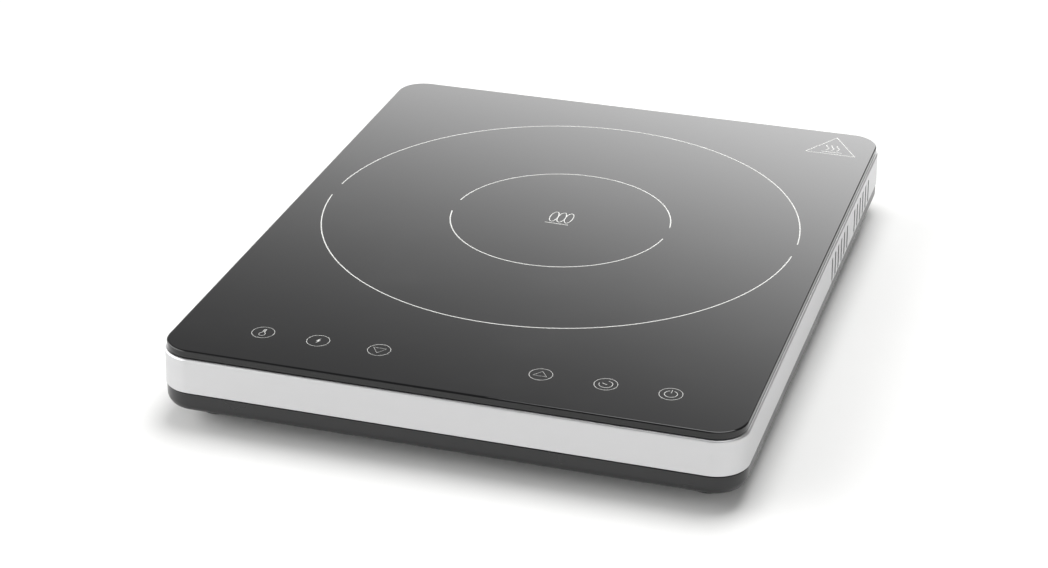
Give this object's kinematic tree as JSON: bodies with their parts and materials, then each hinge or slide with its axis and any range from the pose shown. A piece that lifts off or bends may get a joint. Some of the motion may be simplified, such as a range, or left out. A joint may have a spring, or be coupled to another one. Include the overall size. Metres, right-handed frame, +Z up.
{
  "type": "induction hob",
  "caption": "Flat portable induction hob: rounded black glass plate on a silver band and a black bottom shell, with a coil, boards and a cooling fan inside.",
  "frame": {"origin": "on the surface that the feet stand on, under the middle of the glass", "axes": "+X to the user's right, +Y away from the user, +Z up"},
  "size_m": [0.2928, 0.3668, 0.043],
  "materials": {
    "black_glass_ceramic": "polished, opaque black, pale printed signs",
    "satin_silver_band": "fine satin",
    "black_case_plastic": "finely textured moulding",
    "black_rubber": "matt",
    "zinc_steel": "zinc plated",
    "copper_litz": "enamelled strands",
    "grey_carrier_plastic": "glass-filled moulding",
    "mica": "pressed flakes",
    "ferrite": "sintered, matt",
    "circuit_board": "green solder mask",
    "heatsink_aluminium": "extruded",
    "black_component": "moulded epoxy",
    "yellow_film_capacitor": "moulded box",
    "transformer_tape": "amber tape",
    "green_component": "moulded",
    "fuse_glass": "clear tube with metal ends",
    "varistor_blue": "dipped coating",
    "white_silicone": "soft cap",
    "ribbon_insulation": "flat cable"
  },
  "bodies": {
    "hob": {"base_pan": "black_case_plastic", "bridge_rectifier": "black_component", "bus_capacitor": "yellow_film_capacitor", "buzzer": "black_component", "case_screw_1": "zinc_steel", "case_screw_2": "zinc_steel", "case_screw_3": "zinc_steel", "case_screw_4": "zinc_steel", "case_screw_5": "zinc_steel", "case_screw_6": "zinc_steel", "coil_carrier": "grey_carrier_plastic", "coil_lead_inner": "copper_litz", "coil_lead_outer": "copper_litz", "coil_screw_1": "zinc_steel", "coil_screw_2": "zinc_steel", "coil_screw_3": "zinc_steel", "coil_spring_1": "zinc_steel", "coil_spring_2": "zinc_steel", "coil_spring_3": "zinc_steel", "coil_winding": "copper_litz", "control_board": "circuit_board", "cord_gland": "black_rubber", "electrolytic_capacitor": "black_component", "fan_bearing": "zinc_steel", "fan_frame": "black_case_plastic", "ferrite_bar_1": "ferrite", "ferrite_bar_2": "ferrite", "ferrite_bar_3": "ferrite", "ferrite_bar_4": "ferrite", "ferrite_bar_5": "ferrite", "ferrite_bar_6": "ferrite", "filter_choke": "green_component", "foot_front_left": "black_rubber", "foot_front_right": "black_rubber", "foot_rear_left": "black_rubber", "foot_rear_right": "black_rubber", "fuse": "fuse_glass", "glass_plate": "black_glass_ceramic", "glass_seal": "black_rubber", "heatsink": "heatsink_aluminium", "igbt": "black_component", "led_display": "black_component", "mica_sheet": "mica", "power_board": "circuit_board", "resonance_capacitor": "yellow_film_capacitor", "ribbon_cable": "ribbon_insulation", "sensor_holder": "grey_carrier_plastic", "standby_transformer": "transformer_tape", "temperature_sensor": "white_silicone", "terminal_block": "green_component", "touch_spring_1": "zinc_steel", "touch_spring_2": "zinc_steel", "touch_spring_3": "zinc_steel", "touch_spring_4": "zinc_steel", "touch_spring_5": "zinc_steel", "touch_spring_6": "zinc_steel", "trim_band": "satin_silver_band", "varistor": "varistor_blue"},
    "fan": {"fan_rotor": "black_case_plastic", "fan_shaft": "zinc_steel"}
  },
  "joints": [
    {"name": "fan_spin", "type": "hinge", "parent": "hob", "child": "fan", "pos_m": [-0.092, 0.11, 0.0137], "axis": [0, 0, 1], "continuous": true}
  ]
}
